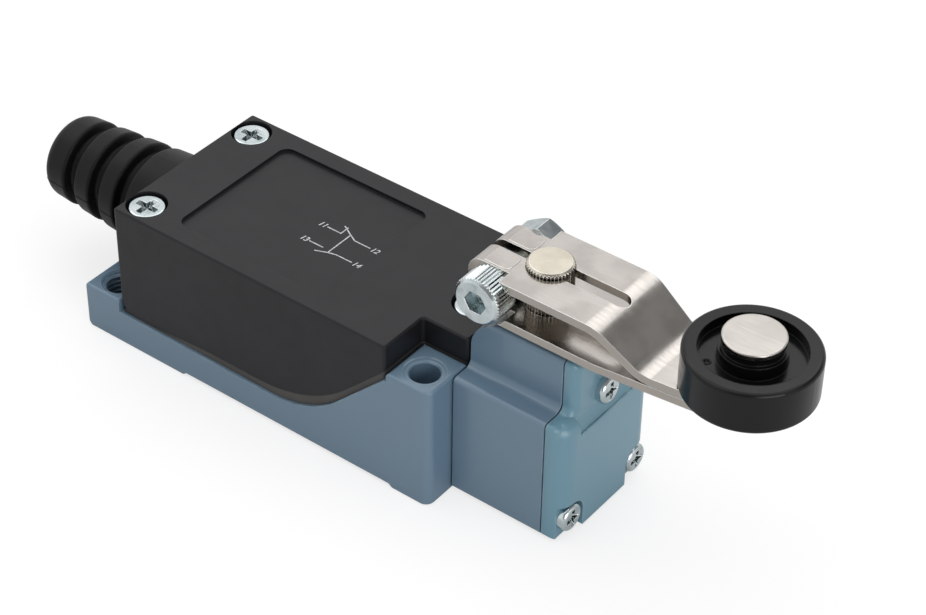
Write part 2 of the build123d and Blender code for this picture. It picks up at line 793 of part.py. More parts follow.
def strip_outline(corners, bends, thickness):
    """Side outline of a strip bent along a path of corners, each with its own bend radius."""
    points = [Vector(*corner) for corner in corners]
    ways = [(b - a).normalized() for a, b in zip(points, points[1:])]
    lines = []
    for side in (1, -1):
        reach = side * thickness / 2
        line = [points[0] + Vector(-ways[0].Y, ways[0].X) * reach]
        radii = []
        for point, before, after, bend in zip(points[1:], ways, ways[1:], bends):
            across = Vector(-before.Y, before.X) + Vector(-after.Y, after.X)
            line.append(point + across * (reach / (1 + before.dot(after))))
            turn = before.cross(after).Z
            radii.append(bend - reach if turn > 0 else bend + reach)
        line.append(points[-1] + Vector(-ways[-1].Y, ways[-1].X) * reach)
        lines.append(FilletPolyline(*line, radius=radii))
    left, right = lines
    ends = [Line(left @ 0, right @ 0), Line(left @ 1, right @ 1)]
    return make_face(Curve() + left + right + ends)


def lever_plan():
    """Flat outline of the lever: parallel sides, a taper and a round tip."""
    start = shaft_x - lever_back
    taper = shaft_x + lever_taper_start
    reach = lever_radius - lever_taper_start
    from_corner = hypot(reach, lever_half_width)
    lean = Vector(reach, -lever_half_width).get_angle(Vector(1, 0))
    grip = lever_tip_radius / from_corner
    tangent = lean - 180 / pi * grip
    touch_x = roller_x + lever_tip_radius * sin(radians(tangent))
    touch_y = lever_tip_radius * cos(radians(tangent))
    top = [(start, lever_half_width), (taper, lever_half_width), (touch_x, touch_y)]
    bottom = [(x, -y) for x, y in reversed(top)]
    arm = make_face(Polyline(*top, *bottom, close=True))
    return arm + Pos(roller_x, 0) * Circle(lever_tip_radius)


def make_lever_arm():
    """Lever folded from one strip: two leaves, a clamp fold and a flat tip under the roller."""
    low_line = lever_bottom + sheet / 2
    high_line = lever_top - sheet / 2
    tip_line = tip_leaf_top - sheet / 2
    back_line = shaft_x - lever_back + sheet / 2
    bend_x = shaft_x + lever_bend_start
    end_x = roller_x + 2 * lever_tip_radius
    corners = [(end_x, low_line), (back_line, low_line), (back_line, high_line), (bend_x, high_line),
               (bend_x + lever_bend_length, tip_line), (end_x, tip_line)]
    bends = [lever_fold_radius, lever_fold_radius, lever_bend_radius, lever_bend_radius]
    strip_solid = extrude(Plane.XZ * strip_outline(corners, bends, sheet), amount=base_width, both=True)
    arm = strip_solid & plan_prism(lever_plan(), 0, 2 * head_top)
    notch_end = shaft_x - lever_notch_x
    for cut in both_sides(block(0, notch_end, lever_notch_half_width, lever_half_width + 2, 0, 2 * head_top)):
        arm -= cut
    relief = nut_width / 2 / cos(radians(30)) + clamp_relief
    for cut in both_sides(rod_y(clamp_x, lever_notch_half_width, lever_half_width + 2, clamp_z, relief)):
        arm -= cut
    arm -= rod_z(shaft_x, 0, 0, 2 * head_top, knurl_radius + hole_clearance)
    arm -= block(0, shaft_x, -lever_slit / 2, lever_slit / 2, 0, 2 * head_top)
    slot_end = shaft_x + lever_slot_reach - lever_slot_width / 2
    half = lever_slot_width / 2
    arm -= block(shaft_x, slot_end, -half, half, clamp_z, 2 * head_top)
    arm -= rod_z(slot_end, 0, clamp_z, 2 * head_top, half)
    arm -= rod_z(roller_x, 0, 0, 2 * head_top, rivet_shank_radius + hole_clearance)
    return arm


def make_clamp_screw():
    """Socket cap screw across the clamp fold."""
    seat = -lever_notch_half_width
    face_y = seat - clamp_head_length
    disc = toothed_disc(clamp_head_radius, clamp_head_tooth_depth, clamp_head_teeth)
    barrel = extrude(Plane(origin=(clamp_x, seat, clamp_z), x_dir=(1, 0, 0), z_dir=(0, -1, 0)) * disc,
                     amount=clamp_head_length)
    smooth = clamp_head_radius - clamp_head_tooth_depth
    long_cone = Pos(clamp_x, face_y, clamp_z) * Rot(-90, 0, 0) * Cone(
        clamp_head_radius - clamp_head_lead, clamp_head_radius + clamp_head_length - clamp_head_lead,
        clamp_head_length, align=BOTTOM)
    barrel = barrel & long_cone
    screw = barrel + rod_y(clamp_x, seat, lever_notch_half_width + nut_thickness + clamp_tip, clamp_z,
                           clamp_screw_radius)
    socket = Plane(origin=(clamp_x, face_y, clamp_z), x_dir=(1, 0, 0), z_dir=(0, 1, 0)) * RegularPolygon(
        clamp_socket_width / 2, 6, major_radius=False)
    return screw - extrude(socket, amount=clamp_socket_depth)


def make_clamp_nut():
    """Hexagon nut at the far end of the clamp screw, one corner up."""
    outer = Plane(origin=(clamp_x, lever_notch_half_width, clamp_z), x_dir=(0, 0, 1), z_dir=(0, 1, 0))
    nut = extrude(outer * RegularPolygon(nut_width / 2, 6, major_radius=False), amount=nut_thickness)
    corner = nut_width / 2 / cos(radians(30))
    lead = 2 * nut_chamfer
    far = lever_notch_half_width + nut_thickness
    body = rod_y(clamp_x, lever_notch_half_width, far - nut_chamfer, clamp_z, corner)
    crown = Pos(clamp_x, far - nut_chamfer, clamp_z) * Rot(-90, 0, 0) * Cone(
        corner, corner - lead, nut_chamfer, align=BOTTOM)
    nut = nut & (body + crown)
    return nut - rod_y(clamp_x, 0, far + 1, clamp_z, clamp_screw_radius)


def make_roller():
    """Moulded roller: a rim, a sunk web and a hub with a collar that stands proud."""
    inner = roller_bore_radius + roller_bush_wall
    recess_floor = roller_top - roller_recess_depth
    under_floor = roller_bottom + roller_under_recess
    points = [(inner, hub_bottom), (roller_hub_radius, hub_bottom), (roller_hub_radius, under_floor),
              (roller_recess_radius, under_floor), (roller_recess_radius, roller_bottom),
              (roller_radius, roller_bottom), (roller_radius, roller_top), (roller_recess_radius, roller_top),
              (roller_recess_radius, recess_floor), (roller_hub_radius, recess_floor),
              (roller_hub_radius, hub_top), (roller_collar_radius, hub_top),
              (roller_collar_radius, collar_top), (inner, collar_top)]
    face = make_face(Plane.XZ * Polyline(*points, close=True))
    rim = face.vertices().filter_by(lambda v: v.X > roller_radius - 0.01)
    face = fillet(rim, roller_edge_radius)
    return Pos(roller_x, 0, 0) * revolve(face, axis=Axis.Z)


def make_roller_bush():
    """Sintered bush pressed into the roller, flush with its collar."""
    bush = rod_z(roller_x, 0, hub_bottom, collar_top, roller_bore_radius + roller_bush_wall)
    return bush - rod_z(roller_x, 0, hub_bottom - 1, collar_top + 1, roller_bore_radius)


def make_roller_washer():
    """Washer between the lever tip and the roller."""
    washer = rod_z(roller_x, 0, tip_leaf_top, hub_bottom - roller_play, roller_hub_radius)
    return washer - rod_z(roller_x, 0, tip_leaf_top - 1, hub_bottom + 1, rivet_shank_radius + hole_clearance)


def make_roller_rivet():
    """Stepped rivet: flat head above the roller, tail closed under the lever."""
    step = hub_bottom - roller_play
    head_start_z = collar_top + roller_play
    head = rod_z(roller_x, 0, head_start_z, head_start_z + rivet_head_height, rivet_head_radius)
    head = fillet(head.edges().sort_by(Axis.Z)[-1], rivet_head_round)
    rivet = head + rod_z(roller_x, 0, step, head_start_z, rivet_radius)
    rivet += rod_z(roller_x, 0, lever_bottom, step, rivet_shank_radius)
    tail = rod_z(roller_x, 0, lever_bottom - rivet_tail_height, lever_bottom, rivet_tail_radius)
    return rivet + fillet(tail.edges().sort_by(Axis.Z)[0], rivet_tail_height / 2)


def make_plunger():
    """Plunger that carries the cam's motion to the switch block."""
    foot = rod_x(foot_back, foot_face, 0, plunger_height, plunger_foot_radius)
    stem = rod_x(plunger_tip, foot_back, 0, plunger_height, plunger_stem_radius)
    return chamfer(foot.edges().sort_by(Axis.X)[-1], 0.4) + stem


def coil(radius, wire, length, turns):
    """Compression spring of round wire along Z, from z = 0."""
    rise = (length - 2 * wire) / turns
    path = Pos(0, 0, wire) * Helix(pitch=rise, height=length - 2 * wire, radius=radius)
    section = Plane(origin=path @ 0, z_dir=path % 0) * RegularPolygon(wire, 6)
    return sweep(section, path=path, is_frenet=True)


def make_plunger_spring():
    """Return spring between the housing and the plunger's foot."""
    start = spring_seat + spring_seat_gap
    spring = coil(plunger_spring_radius, plunger_spring_wire, foot_back - spring_seat_gap - start,
                  plunger_spring_turns)
    return Pos(start, 0, plunger_height) * Rot(0, 90, 0) * spring


def make_contact_spring():
    """Return spring behind the contact carrier."""
    start = chamber_start_x + spring_seat_gap
    spring = coil(carrier_spring_radius, carrier_spring_wire, carrier_back - spring_seat_gap - start,
                  carrier_spring_turns)
    return Pos(start, 0, plunger_height) * Rot(0, 90, 0) * spring


def make_contact_carrier():
    """Moulded carrier with the push button and two windows for the contact bridges."""
    front = chamber_end_x - 2 * contact_touch
    body = block(carrier_back, front, -carrier_half_width, carrier_half_width,
                 plunger_height - carrier_half_height, plunger_height + carrier_half_height)
    tip = plunger_tip - button_touch
    carrier = body + rod_x(front, tip, 0, plunger_height, button_radius)
    for x in (open_bridge_x, closed_bridge_x):
        carrier -= block(x - carrier_window_gap / 2, x + bridge_thickness + carrier_window_gap / 2,
                         -carrier_half_width - 1, carrier_half_width + 1,
                         plunger_height - bridge_half_height - carrier_window_gap / 2,
                         plunger_height + bridge_half_height + carrier_window_gap / 2)
    return carrier


def make_contact_bridges():
    """The two moving contact strips: the rear pair open, the front pair closed at rest."""
    bridges = []
    for x in (open_bridge_x, closed_bridge_x):
        bridges.append(block(x, x + bridge_thickness, -bridge_half_length, bridge_half_length,
                             plunger_height - bridge_half_height, plunger_height + bridge_half_height))
    return group(bridges)


def terminal_screw_places():
    """X of the terminal screws: on the front pads and on the rear pads."""
    return [closed_leg_x + strip + front_pad_length / 2, open_leg_x - rear_pad_length / 2]


def make_terminals(leg_x, pad_from, pad_to, button_side):
    """Mirrored pair of bent strips, each with a screw pad and a contact rivet."""
    y0 = strip_y - strip_width / 2
    y1 = strip_y + strip_width / 2
    leg_bottom = block_bottom + block_plate + leg_bottom_lift
    leg = block(leg_x, leg_x + strip, y0, y1, leg_bottom, pocket_floor + strip)
    pad = block(pad_from, pad_to, y0, y1, pocket_floor, pocket_floor + strip)
    if button_side < 0:
        rivet = rod_x(leg_x - contact_height, leg_x, strip_y, plunger_height, contact_radius)
    else:
        rivet = rod_x(leg_x + strip, leg_x + strip + contact_height, strip_y, plunger_height, contact_radius)
    terminal = leg + pad + rivet
    for x in terminal_screw_places():
        terminal -= rod_z(x, strip_y, pocket_floor - 1, block_top, terminal_screw_radius + screw_clearance)
    return group(both_sides(terminal))


def make_terminal_washers():
    """Square clamping washers under the four terminal screws."""
    top = pocket_floor + strip + terminal_washer
    half = terminal_washer_width / 2
    washers = []
    for x in terminal_screw_places():
        plate = block(x - half, x + half, strip_y - half, strip_y + half, pocket_floor + strip, top)
        plate -= rod_z(x, strip_y, pocket_floor, top + 1, terminal_screw_radius + screw_clearance)
        washers.extend(both_sides(plate))
    return group(washers)


def make_terminal_screws():
    """Four slotted terminal screws."""
    seat = pocket_floor + strip + terminal_washer
    top = seat + terminal_head_height
    screws = []
    for x in terminal_screw_places():
        head = rod_z(x, strip_y, seat, top, terminal_head_radius)
        head -= block(x - terminal_head_radius, x + terminal_head_radius,
                      strip_y - slot_width / 2, strip_y + slot_width / 2, top - slot_depth, top + 1)
        shank = rod_z(x, strip_y, pocket_floor - terminal_screw_grip, seat, terminal_screw_radius)
        screws.extend(both_sides(head + shank))
    return group(screws)


def make_switch_case():
    """Moulded switch block: contact chamber below, terminal pockets above, two fixing ears."""
    half = block_half_width
    case = block(block_start + ear_length, block_end, -half, half, block_bottom, block_top)
    case += block(block_start, block_start + ear_length, -half, half, block_bottom, block_bottom + ear_height)
    case -= block(chamber_start_x, chamber_end_x, -chamber_half_width, chamber_half_width,
                  block_bottom - 1, block_chamber_top)
    case -= rod_x(chamber_end_x - 1, block_end + 1, 0, plunger_height,
                  button_radius + plunger_guide_clearance)
    gap = contact_touch
    front_pocket = block(closed_leg_x - gap, block_end + 1,
                         pad_pocket_inner, half + 1, pocket_floor, block_top + 1)
    rear_pocket = block(open_leg_x - rear_pad_length - gap, open_leg_x + strip + gap,
                        pad_pocket_inner, half + 1, pocket_floor, block_top + 1)
    y0 = strip_y - strip_width / 2 - gap
    y1 = strip_y + strip_width / 2 + gap
    front_slot = block(closed_leg_x - gap, closed_leg_x + strip + gap, y0, y1, block_bottom, block_top)
    rear_slot = block(open_leg_x - gap, open_leg_x + strip + gap, y0, y1, block_bottom, block_top)
    cuts = [front_pocket, rear_pocket, front_slot, rear_slot]
    for x in terminal_screw_places():
        cuts.append(rod_z(x, strip_y, pocket_floor - terminal_screw_grip - gap, block_top,
                          terminal_screw_radius))
    for cut in cuts:
        for piece in both_sides(cut):
            case -= piece
    for y in (-ear_screw_y, ear_screw_y):
        case -= rod_z(ear_screw_x, y, block_bottom - 1, block_top, ear_screw_radius + screw_clearance)
    return case


def make_switch_floor():
    """Snap-in plate that closes the contact chamber from below."""
    gap = contact_touch
    return block(chamber_start_x + gap, chamber_end_x - gap, gap - chamber_half_width,
                 chamber_half_width - gap, block_bottom, block_bottom + block_plate)


def make_switch_screws():
    """Two screws that hold the switch block to the housing floor."""
    seat = block_bottom + ear_height
    top = seat + ear_screw_head_height
    screws = []
    for y in (-ear_screw_y, ear_screw_y):
        head = rod_z(ear_screw_x, y, seat, top, ear_screw_head_radius)
        shank = rod_z(ear_screw_x, y, base_floor - ear_screw_grip, seat, ear_screw_radius)
        screws.append(head + shank - Pos(ear_screw_x, y, top) * cross_recess(ear_screw_head_radius))
    return group(screws)


def make_earth_screw():
    """Earth screw on its boss."""
    seat = base_floor + earth_boss_height + earth_washer
    tip = base_floor + earth_boss_height - earth_screw_grip
    head = rod_z(earth_x, earth_y, seat, seat + earth_head_height, earth_head_radius)
    shank = rod_z(earth_x, earth_y, tip, seat, earth_screw_radius)
    mouth = Pos(earth_x, earth_y, seat + earth_head_height)
    return head + shank - mouth * cross_recess(earth_head_radius)


def make_earth_washer():
    """Plain washer under the earth screw."""
    bottom = base_floor + earth_boss_height
    washer = rod_z(earth_x, earth_y, bottom, bottom + earth_washer, earth_washer_radius)
    return washer - rod_z(earth_x, earth_y, bottom - 1, bottom + 1, earth_screw_radius + screw_clearance)


def make_cable_boot():
    """Rubber boot: a flange inside, a neck held by both shells, a grooved taper outside."""
    def radius_at(x):
        share = (cover_start - x) / boot_length
        return boot_radius_root + (boot_radius_tip - boot_radius_root) * share

    wall_end = cover_start + cover_wall + boot_gap
    inner_end = wall_end + boot_inner_flange
    start = cover_start - boot_gap
    neck = boot_neck_radius - boot_gap
    points = [(inner_end, boot_bore), (inner_end, boot_inner_flange_radius),
              (wall_end, boot_inner_flange_radius), (wall_end, neck), (start, neck),
              (start, radius_at(start))]
    crests = []
    floors = []
    for i in range(boot_groove_count):
        x = start - boot_smooth - i * (boot_groove + boot_rib)
        floor = radius_at(x) - boot_groove_depth
        crests += [(x, radius_at(x)), (x - boot_groove, radius_at(x - boot_groove))]
        floors += [(x - boot_groove * 0.2, floor), (x - boot_groove * 0.8, floor)]
        points += [crests[-2], floors[-2], floors[-1], crests[-1]]
    tip = (boot_tip_x, boot_radius_tip)
    points += [tip, (boot_tip_x, boot_bore)]
    face = make_face(Plane.XZ * Polyline(*points, close=True))
    for corners, radius in ((crests, boot_crest_round), (floors, boot_floor_round), ([tip], boot_tip_round)):
        face = fillet(face.vertices().filter_by(
            lambda v: any(hypot(v.X - x, v.Z - z) < 0.01 for x, z in corners)), radius)
    return Pos(0, 0, boot_height) * revolve(face, axis=Axis.X)


def make_closed_terminals():
    """Front pair of terminals, joined by their bridge at rest."""
    return make_terminals(closed_leg_x, closed_leg_x, closed_leg_x + strip + front_pad_length, -1)


def make_open_terminals():
    """Rear pair of terminals, apart from their bridge at rest."""
    return make_terminals(open_leg_x, open_leg_x - rear_pad_length, open_leg_x + strip, 1)


nodes = {
    "base_housing": make_base_housing,
    "front_cover": make_front_cover,
    "cover_gasket": make_cover_gasket,
    "cover_screws": make_cover_screws,
    "head_housing": make_head_housing,
    "head_gasket": make_head_gasket,
    "head_screws": make_head_screws,
    "end_gasket": make_end_gasket,
    "head_end_cover": make_head_end_cover,
    "end_cover_screws": make_end_cover_screws,
    "shaft_bush": make_shaft_bush,
    "shaft_seal": make_shaft_seal,
    "cable_boot": make_cable_boot,
    "switch_case": make_switch_case,
    "switch_floor": make_switch_floor,
    "switch_screws": make_switch_screws,
    "closed_terminals": make_closed_terminals,
    "open_terminals": make_open_terminals,
    "terminal_washers": make_terminal_washers,
    "terminal_screws": make_terminal_screws,
    "earth_screw": make_earth_screw,
    "earth_washer": make_earth_washer,
    "lever_shaft": make_lever_shaft,
    "lever_arm": make_lever_arm,
    "clamp_screw": make_clamp_screw,
    "clamp_nut": make_clamp_nut,
    "roller_rivet": make_roller_rivet,
    "roller_washer": make_roller_washer,
    "roller": make_roller,
    "roller_bush": make_roller_bush,
    "plunger": make_plunger,
    "plunger_spring": make_plunger_spring,
    "contact_carrier": make_contact_carrier,
    "contact_bridges": make_contact_bridges,
    "contact_spring": make_contact_spring,
}

os.makedirs("parts", exist_ok=True)
for name, make in nodes.items():
    export_step(make(), f"parts/{name}.step")
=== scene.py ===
import json
import math

import bmesh
import bpy
from mathutils import Matrix, Vector
from mathutils.bvhtree import BVHTree


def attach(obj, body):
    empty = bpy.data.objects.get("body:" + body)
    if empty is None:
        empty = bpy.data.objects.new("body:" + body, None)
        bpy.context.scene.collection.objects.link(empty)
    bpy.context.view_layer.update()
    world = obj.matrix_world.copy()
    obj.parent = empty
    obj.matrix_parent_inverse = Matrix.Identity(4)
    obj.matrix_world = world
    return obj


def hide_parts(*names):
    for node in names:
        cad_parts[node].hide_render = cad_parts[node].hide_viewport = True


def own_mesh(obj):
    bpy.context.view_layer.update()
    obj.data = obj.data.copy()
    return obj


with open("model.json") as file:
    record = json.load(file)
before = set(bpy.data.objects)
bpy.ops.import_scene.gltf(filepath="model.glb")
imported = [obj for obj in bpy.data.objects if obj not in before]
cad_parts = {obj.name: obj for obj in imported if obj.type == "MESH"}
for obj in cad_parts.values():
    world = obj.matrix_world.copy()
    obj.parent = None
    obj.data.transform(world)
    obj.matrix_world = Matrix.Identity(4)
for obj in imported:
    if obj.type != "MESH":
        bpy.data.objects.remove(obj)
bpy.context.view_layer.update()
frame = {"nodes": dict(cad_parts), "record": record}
nodes = frame["nodes"]
MM = 0.001


# Camera, from the vanishing lines and known sizes of the photograph
AZIMUTH = 36.9
ELEVATION = 39.04
ROLL = 1.02
CAMERA_PLACE = (182.657, -209.937, 234.641)
FOCAL_PIXELS = 2561.92
PHOTO_WIDTH = 926
SENSOR_WIDTH = 36


def place_camera():
    azimuth, elevation, roll = (math.radians(a) for a in (AZIMUTH, ELEVATION, ROLL))
    right = Vector((math.cos(azimuth), math.sin(azimuth), 0))
    back = Vector((math.sin(azimuth) * math.cos(elevation), -math.cos(azimuth) * math.cos(elevation),
                   math.sin(elevation)))
    up = back.cross(right)
    c, s = math.cos(roll), math.sin(roll)
    right, up = right * c + up * s, up * c - right * s
    data = bpy.data.cameras.new("camera")
    data.sensor_width = SENSOR_WIDTH
    data.sensor_fit = "HORIZONTAL"
    data.lens = FOCAL_PIXELS * SENSOR_WIDTH / PHOTO_WIDTH
    data.clip_start = 0.01
    data.clip_end = 20
    camera = bpy.data.objects.new("camera", data)
    bpy.context.scene.collection.objects.link(camera)
    turn = Matrix((right, up, back)).transposed().to_4x4()
    camera.matrix_world = Matrix.Translation(Vector(CAMERA_PLACE) * MM) @ turn
    bpy.context.scene.camera = camera


place_camera()


# Materials
WHITE = (1, 1, 1, 1)
# Pale edge tone of metals: partly rubbed wear, partly a painted highlight.
RUBBED_AND_HIGHLIT_EDGE = (0.95, 0.95, 0.94, 1)
SCRATCH_TONE = (150, 146, 142)
THIN_INK = (178, 180, 182)
BEVEL_SAMPLES = {"samples": 4}
# Colour sockets of a Mix node, which share their names with its sockets for other types
MIX_A, MIX_B, MIX_RESULT = 6, 7, 2


def linear(screen):
    """Screen colour from 0 to 255, as the linear colour that a shader takes."""
    out = []
    for c in screen:
        c /= 255
        out.append(c / 12.92 if c <= 0.04045 else ((c + 0.055) / 1.055) ** 2.4)
    return (*out, 1.0)


class Nodes:
    """Short ways to add nodes to the tree of a material or the world. Each returns an output socket."""

    def __init__(self, owner):
        owner.use_nodes = True
        self.tree = owner.node_tree

    def set(self, node, socket, value):
        if isinstance(value, bpy.types.NodeSocket):
            self.tree.links.new(value, node.inputs[socket])
        else:
            node.inputs[socket].default_value = value

    def node(self, kind, out=0, props=None, **sockets):
        n = self.tree.nodes.new(kind)
        for key, value in (props or {}).items():
            setattr(n, key, value)
        for key, value in sockets.items():
            self.set(n, key.replace("_", " "), value)
        return n.outputs[out]

    def pair(self, kind, op, out, a, b):
        n = self.tree.nodes.new(kind)
        n.operation = op
        self.set(n, 0, a)
        self.set(n, 1, b)
        return n.outputs[out]

    def maths(self, op, a, b=0.0):
        return self.pair("ShaderNodeMath", op, "Value", a, b)

    def dot(self, a, b):
        return self.pair("ShaderNodeVectorMath", "DOT_PRODUCT", "Value", a, b)

    def ramp(self, value, low, high, to_low=0.0, to_high=1.0):
        """Smooth change from to_low to to_high while the value goes from low to high."""
        return self.node("ShaderNodeMapRange", "Result", {"interpolation_type": "SMOOTHSTEP"}, Value=value,
                         From_Min=low, From_Max=high, To_Min=to_low, To_Max=to_high)

    def ray(self, kind):
        """1 for light paths of this kind, 0 for others."""
        return self.node("ShaderNodeLightPath", f"Is {kind} Ray")

    def seen(self):
        """1 where the camera looks, directly or through something clear, and 0 otherwise."""
        return self.maths("MAXIMUM", self.ray("Camera"), self.ray("Transmission"))


class Shader(Nodes):
    """A material under construction around its principled shader. Lengths are in millimetres."""

    def __init__(self, name, colour, rough, metal=0.0, **sockets):
        self.mat = bpy.data.materials.new(name)
        super().__init__(self.mat)
        self.bsdf = self.tree.nodes["Principled BSDF"]
        self.look("Base Color", colour)
        self.look("Roughness", rough)
        self.look("Metallic", metal)
        for key, value in sockets.items():
            self.look(key.replace("_", " "), value)

    def look(self, socket, value):
        self.set(self.bsdf, socket, value)

    def noise(self, scale, detail=3.0, rough=0.5, stretch=None):
        vector = self.node("ShaderNodeTexCoord", "Object")
        if stretch:
            vector = self.node("ShaderNodeMapping", Vector=vector, Scale=stretch)
        return self.node("ShaderNodeTexNoise", "Fac", Vector=vector, Scale=scale, Detail=detail,
                         Roughness=rough)

    def blend(self, factor, a, b):
        n = self.tree.nodes.new("ShaderNodeMix")
        n.data_type = "RGBA"
        self.set(n, "Factor", factor)
        self.set(n, MIX_A, a)
        self.set(n, MIX_B, b)
        return n.outputs[MIX_RESULT]

    def rounded(self, radius):
        """Normal with edges rounded to this radius."""
        return self.node("ShaderNodeBevel", 0, BEVEL_SAMPLES, Radius=radius * MM)

    def edges(self, radius, most):
        """Up to most on outer and inner edges, 0 on flat ground, from the rounding of the normal."""
        flatness = self.dot(self.rounded(radius), self.node("ShaderNodeNewGeometry", "Normal"))
        return self.maths("MULTIPLY", self.ramp(flatness, 0.995, 0.9), most)

    def hollows(self, reach, low, high):
        """About 1 down in grooves and recesses of the piece itself, 0 on open ground."""
        openness = self.node("ShaderNodeAmbientOcclusion", "AO", {"samples": 8, "only_local": True},
                             Distance=reach * MM)
        return self.ramp(openness, high, low)

    def finish(self, height, strength, distance, rounding=0.0):
        """The material, after its bump, and its rounded edges where rounding asks for them."""
        extra = {"Normal": self.rounded(rounding)} if rounding else {}
        self.look("Normal", self.node("ShaderNodeBump", Height=height, Strength=strength,
                                      Distance=distance * MM, **extra))
        return self.mat


def paint(name, colour, dark, light):
    """Smooth glossy enamel on a casting, a little thinner and paler along its edges: partly worn paint,
    partly a painted highlight.
    """
    s = Shader(name, linear(colour), 0.32, Specular_IOR_Level=0.5, Coat_Weight=0.3, Coat_Roughness=0.1)
    base = s.blend(s.ramp(s.noise(45, 2), 0.3, 0.7), linear(dark), linear(colour))
    # Paler edges: partly worn thin paint, partly a painted highlight.
    worn_and_highlit = s.edges(0.25, s.ramp(s.noise(400, 3), 0.42, 0.62, 0.12, 0.7))
    s.look("Base Color", s.blend(worn_and_highlit, base, linear(light)))
    s.look("Roughness", s.ramp(s.noise(90, 2), 0.3, 0.7, 0.29, 0.36))
    return s.finish(s.noise(160, 1), 0.2, distance=0.03, rounding=0.2)


def moulding(name, colour, light, rough, grain, depth, rounding=0.12, level=0.4):
    """Moulded plastic or rubber with a fine grained skin."""
    s = Shader(name, linear(colour), rough, Specular_IOR_Level=level)
    s.look("Base Color", s.blend(s.ramp(s.noise(120, 2), 0.3, 0.75, 0, 0.6), linear(colour), linear(light)))
    s.look("Roughness", s.ramp(s.noise(400, 2), 0.3, 0.7, rough - 0.02, rough + 0.03))
    return s.finish(s.noise(grain, 2, 0.6), 0.3, depth, rounding)


def metal(name, colour, dark, rough, stretch=None, dents=0.12, tint=None, painted_shade=None, reach=1.0,
          band=(0.25, 0.85), cut_side_and_shade=None):
    """Bare or plated metal: cloudy tone, faint scratches along one way and bright edges, partly rubbed wear
    and partly a painted highlight, with a plating tint, painted shade in its own hollows and a darker tone on
    sideways faces, partly duller cut sides and partly painted shade, where they are given."""
    s = Shader(name, linear(colour), rough, 1.0)
    scratches = s.noise(2400, 1, stretch=stretch)
    cloud = s.noise(260, 2)
    base = s.blend(s.ramp(cloud, 0.3, 0.7), linear(dark), linear(colour))
    if tint:
        base = s.blend(s.ramp(s.noise(620, 3), 0.45, 0.7, 0, 0.6), base, linear(tint))
    base = s.blend(s.ramp(scratches, 0.35, 0.7, 0, 0.12), base, linear(SCRATCH_TONE))
    # Sideways faces darker: partly the duller cut sides, partly painted shade.
    if cut_side_and_shade:
        sideways = s.node("ShaderNodeSeparateXYZ", "Y", Vector=s.node("ShaderNodeTexCoord", "Normal"))
        base = s.blend(s.ramp(s.maths("ABSOLUTE", sideways), 0.6, 0.92), base, linear(cut_side_and_shade))
    # Painted shade: the colour turns darker in the piece's own grooves and recesses, where shade falls.
    if painted_shade:
        base = s.blend(s.hollows(reach, *band), base, linear(painted_shade))
    # Edges paler: partly rubbed wear, partly a painted highlight.
    s.look("Base Color", s.blend(s.edges(0.18, 0.75), base, RUBBED_AND_HIGHLIT_EDGE))
    rougher = s.maths("MULTIPLY", s.ramp(scratches, 0.3, 0.7, -1, 1), 0.025)
    s.look("Roughness", s.maths("ADD", s.ramp(cloud, 0.3, 0.7, rough - 0.03, rough + 0.05), rougher))
    return s.finish(cloud, dents, distance=0.004, rounding=0.12)


def ink(name, colour):
    """Printed ink, thin and slightly uneven."""
    s = Shader(name, linear(colour), 0.5, Specular_IOR_Level=0.3)
    s.look("Base Color", s.blend(s.ramp(s.noise(3000, 3), 0.35, 0.7), linear(colour), linear(THIN_INK)))
    return s.finish(s.noise(2500, 2), 0.1, distance=0.005)


MATERIALS = {
    # The last colour of each paint is its paler edge: partly wear, partly a painted highlight.
    "housing_paint": paint("housing_paint", (108, 133, 153), (105, 130, 150), (172, 190, 203)),
    "end_cover_paint": paint("end_cover_paint", (110, 150, 168), (107, 147, 165), (172, 203, 212)),
    "cover_plastic": moulding("cover_plastic", (26, 26, 29), (31, 31, 34), rough=0.42, grain=4200,
                              depth=0.006, level=0.3),
    "gasket_rubber": moulding("gasket_rubber", (74, 72, 70), (90, 88, 86), rough=0.7, grain=2500, depth=0.03),
    "boot_rubber": moulding("boot_rubber", (8, 8, 9), (14, 14, 15), rough=0.42, grain=1600, depth=0.015,
                            rounding=0.3, level=0.2),
    # The dark hollow colours given below for the zinc, the lever and the shaft are painted shade in their
    # cross recesses, slots, gaps and knurl grooves.
    "zinc_screws": metal("zinc_screws", (214, 222, 224), (200, 210, 213), rough=0.13, tint=(160, 178, 180),
                         painted_shade=(70, 88, 88), reach=1.1),
    # The lever's last colour is its sideways faces: partly duller cut sides, partly painted shade.
    "lever_steel": metal("lever_steel", (188, 183, 178), (181, 176, 171), rough=0.19, stretch=(0.08, 1, 1),
                         dents=0.03, painted_shade=(120, 112, 102), reach=1.2, cut_side_and_shade=(174, 168, 160)),
    "shaft_metal": metal("shaft_metal", (212, 205, 190), (208, 200, 184), rough=0.19, painted_shade=(58, 42, 20),
                         reach=0.4, band=(0.6, 0.96)),
    "roller_plastic": moulding("roller_plastic", (10, 10, 11), (15, 15, 16), rough=0.2, grain=2600,
                               depth=0.006, rounding=0.2, level=0.27),
    "bronze": metal("bronze", (190, 150, 96), (150, 112, 66), rough=0.4),
    "block_plastic": moulding("block_plastic", (52, 38, 30), (70, 54, 44), rough=0.35, grain=2600,
                              depth=0.01),
    "terminal_brass": metal("terminal_brass", (214, 184, 116), (186, 150, 84), rough=0.33),
    "plunger_plastic": moulding("plunger_plastic", (214, 214, 208), (232, 232, 228), rough=0.35, grain=1800,
                                depth=0.01),
    "spring_steel": metal("spring_steel", (190, 190, 190), (150, 150, 152), rough=0.2),
}
INK = ink("white_ink", (228, 230, 232))
for entry in frame["record"]["subparts"]:
    looks = nodes[entry["node"]].data.materials
    looks.clear()
    looks.append(MATERIALS[entry["material_slot"]])


